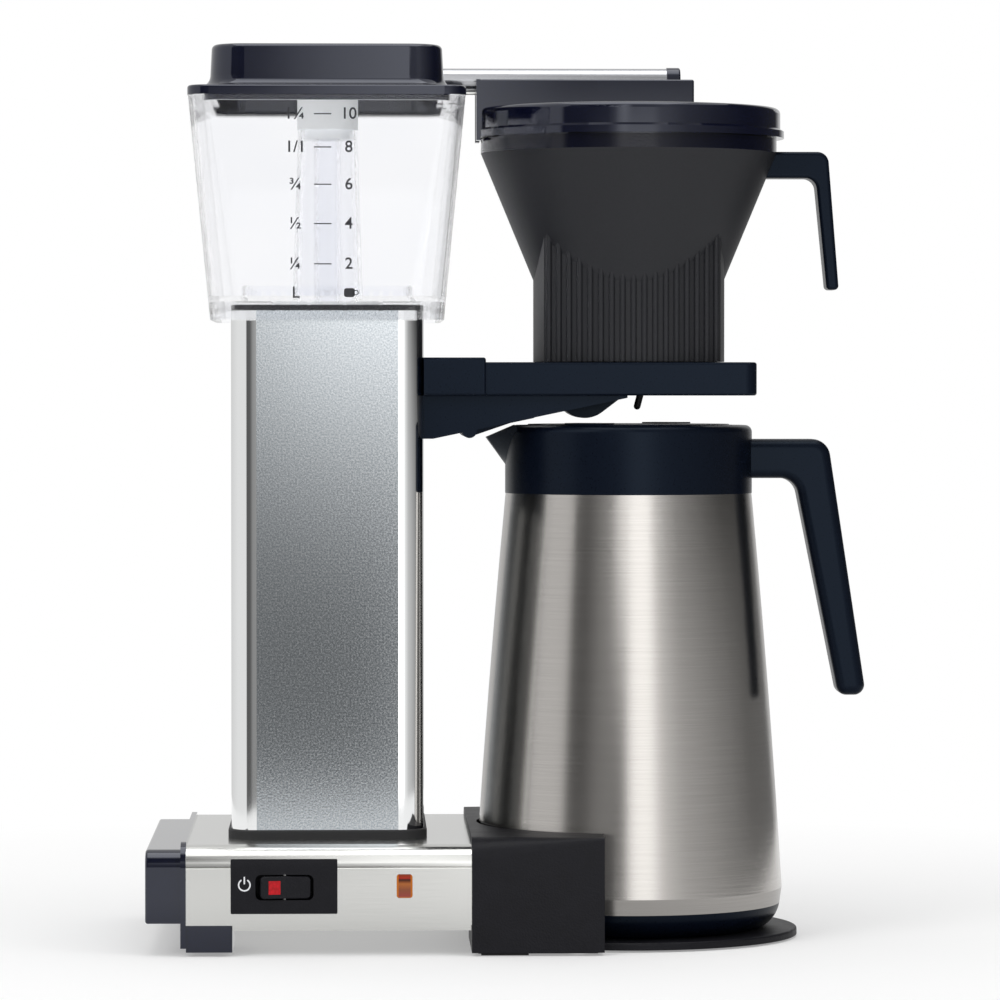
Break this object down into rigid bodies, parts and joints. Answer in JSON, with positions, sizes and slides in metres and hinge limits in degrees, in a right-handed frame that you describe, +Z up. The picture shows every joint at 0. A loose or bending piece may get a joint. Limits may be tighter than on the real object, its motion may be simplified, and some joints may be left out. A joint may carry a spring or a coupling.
{
  "type": "drip coffee maker",
  "caption": "Upright drip coffee maker: a metal tower and base with a clear water tank, a spray arm, a lidded filter basket on a fork and a steel thermal jug with a handle.",
  "frame": {"origin": "middle of the bounding box, on the table", "axes": "+X to the right, towards the jug handle; +Y to the back; +Z up"},
  "size_m": [0.3102, 0.1746, 0.3843],
  "materials": {
    "black_gloss": "moulded, glossy blue-black",
    "black_textured": "moulded, fine leather grain",
    "basket_grey": "moulded, matte",
    "housing_aluminium": "satin, polished at the bends",
    "steel": "brushed stainless",
    "clear": "clear moulded plastic",
    "lamp_amber": "translucent amber",
    "lens_red": "translucent red",
    "silicone": "milky silicone",
    "rubber_black": "black rubber",
    "copper": "bare copper",
    "board": "green laminate"
  },
  "bodies": {
    "machine": {"end_cap": "black_gloss", "left_feet": "black_gloss", "basket_holder": "black_gloss", "holder_bracket": "black_gloss", "carafe_cradle": "black_textured", "carafe_plate": "black_textured", "switch_panel": "black_textured", "switch_body": "black_textured", "lamp_holder": "black_textured", "terminal_block": "black_textured", "cord_gland": "black_textured", "gland_nut": "black_textured", "tower_top_cap": "basket_grey", "reservoir_nut": "basket_grey", "check_valve_body": "basket_grey", "tower_housing": "housing_aluminium", "base_housing": "housing_aluminium", "bottom_plate": "housing_aluminium", "case_screws": "steel", "holder_screws": "steel", "lever_pin": "steel", "rocker_pin": "steel", "heating_element": "steel", "thermostat": "steel", "reservoir": "clear", "riser_tube": "clear", "lamp_lens": "lamp_amber", "arm_connector": "silicone", "inlet_hose": "silicone", "riser_coupler": "silicone", "reservoir_gasket": "silicone", "foot_pads": "rubber_black", "tower_gasket": "rubber_black", "boiler_tube": "copper", "control_board": "board", "thermal_fuse": "board"},
    "rocker": {"power_rocker": "black_gloss", "rocker_lens": "lens_red"},
    "arm": {"outlet_elbow": "black_gloss", "outlet_tube": "housing_aluminium", "outlet_tube_cap": "black_gloss", "arm_wire": "steel"},
    "reservoir_lid": {"reservoir_lid": "black_gloss"},
    "basket": {"brew_basket": "basket_grey", "drip_finger": "basket_grey", "basket_handle": "black_gloss"},
    "basket_lid": {"basket_lid": "black_gloss"},
    "valve": {"drip_valve": "basket_grey", "valve_seal": "silicone", "valve_spring": "steel"},
    "lever": {"drip_lever": "black_gloss"},
    "carafe": {"carafe_shell": "steel", "carafe_flask": "steel", "carafe_base": "black_gloss", "carafe_collar": "black_gloss", "carafe_handle": "black_gloss"},
    "carafe_lid": {"carafe_lid": "black_gloss", "lid_seal": "silicone", "lid_stem": "clear"},
    "check_ball": {"check_ball": "steel"}
  },
  "joints": [
    {"name": "rocker_tilt", "type": "hinge", "parent": "machine", "child": "rocker", "pos_m": [-0.09647, -0.0816, 0.0292], "axis": [0, 0, -1], "range_deg": [0, 14]},
    {"name": "arm_lift", "type": "slide", "parent": "machine", "child": "arm", "axis": [0, 0, 1], "range_m": [0, 0.06]},
    {"name": "reservoir_lid_lift", "type": "slide", "parent": "arm", "child": "reservoir_lid", "axis": [0, 0, 1], "range_m": [0, 0.08]},
    {"name": "basket_slide", "type": "slide", "parent": "machine", "child": "basket", "axis": [1, 0, 0], "range_m": [0, 0.25]},
    {"name": "basket_lid_lift", "type": "slide", "parent": "basket", "child": "basket_lid", "axis": [0, 0, 1], "range_m": [0, 0.08]},
    {"name": "lever_tip", "type": "hinge", "parent": "machine", "child": "lever", "pos_m": [-0.01777, 0, 0.2205], "axis": [0, 1, 0], "range_deg": [0, 2]},
    {"name": "valve_drop", "type": "slide", "parent": "basket", "child": "valve", "axis": [0, 0, -1], "range_m": [0, 0.00246], "deforming": ["valve_spring"]},
    {"name": "carafe_slide", "type": "slide", "parent": "machine", "child": "carafe", "axis": [1, 0, 0], "range_m": [0, 0.2]},
    {"name": "carafe_lid_twist", "type": "hinge", "parent": "carafe", "child": "carafe_lid", "pos_m": [0.05243, 0, 0.2226], "axis": [0, 0, 1], "range_deg": [0, 90]},
    {"name": "check_ball_lift", "type": "slide", "parent": "machine", "child": "check_ball", "axis": [0, 0, 1], "range_m": [0, 0.003]}
  ],
  "couplings": [
    {"joint": "valve_drop", "follows": "lever_tip", "m_per_rad": 0.0702}
  ]
}
